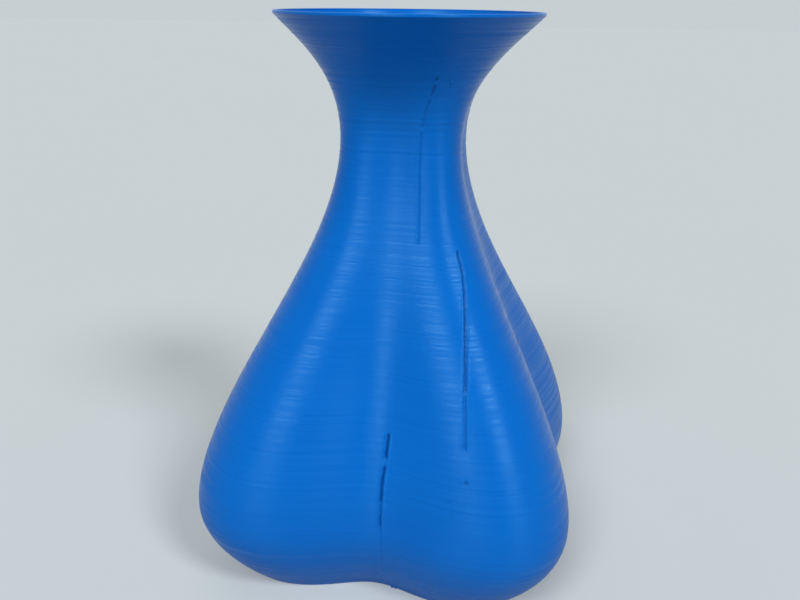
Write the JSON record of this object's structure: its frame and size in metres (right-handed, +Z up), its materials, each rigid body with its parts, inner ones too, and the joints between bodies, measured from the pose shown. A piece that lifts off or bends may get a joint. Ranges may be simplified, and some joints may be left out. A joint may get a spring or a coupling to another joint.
{
  "type": "vase",
  "caption": "Printed vase with a belly of four round lobes, a slim neck and a wide round trumpet mouth.",
  "frame": {"origin": "centre of the flat underside, on the surface that the vase stands on", "axes": "+Z up through the middle of the mouth; -Y faces a hollow between two lobes, so the lobes point along the diagonals between X and Y"},
  "size_m": [0.0876, 0.0876, 0.13],
  "materials": {
    "printed_plastic": "satin blue filament print with fine level layer lines"
  },
  "bodies": {
    "root": {"vase_shell": "printed_plastic"}
  },
  "joints": []
}
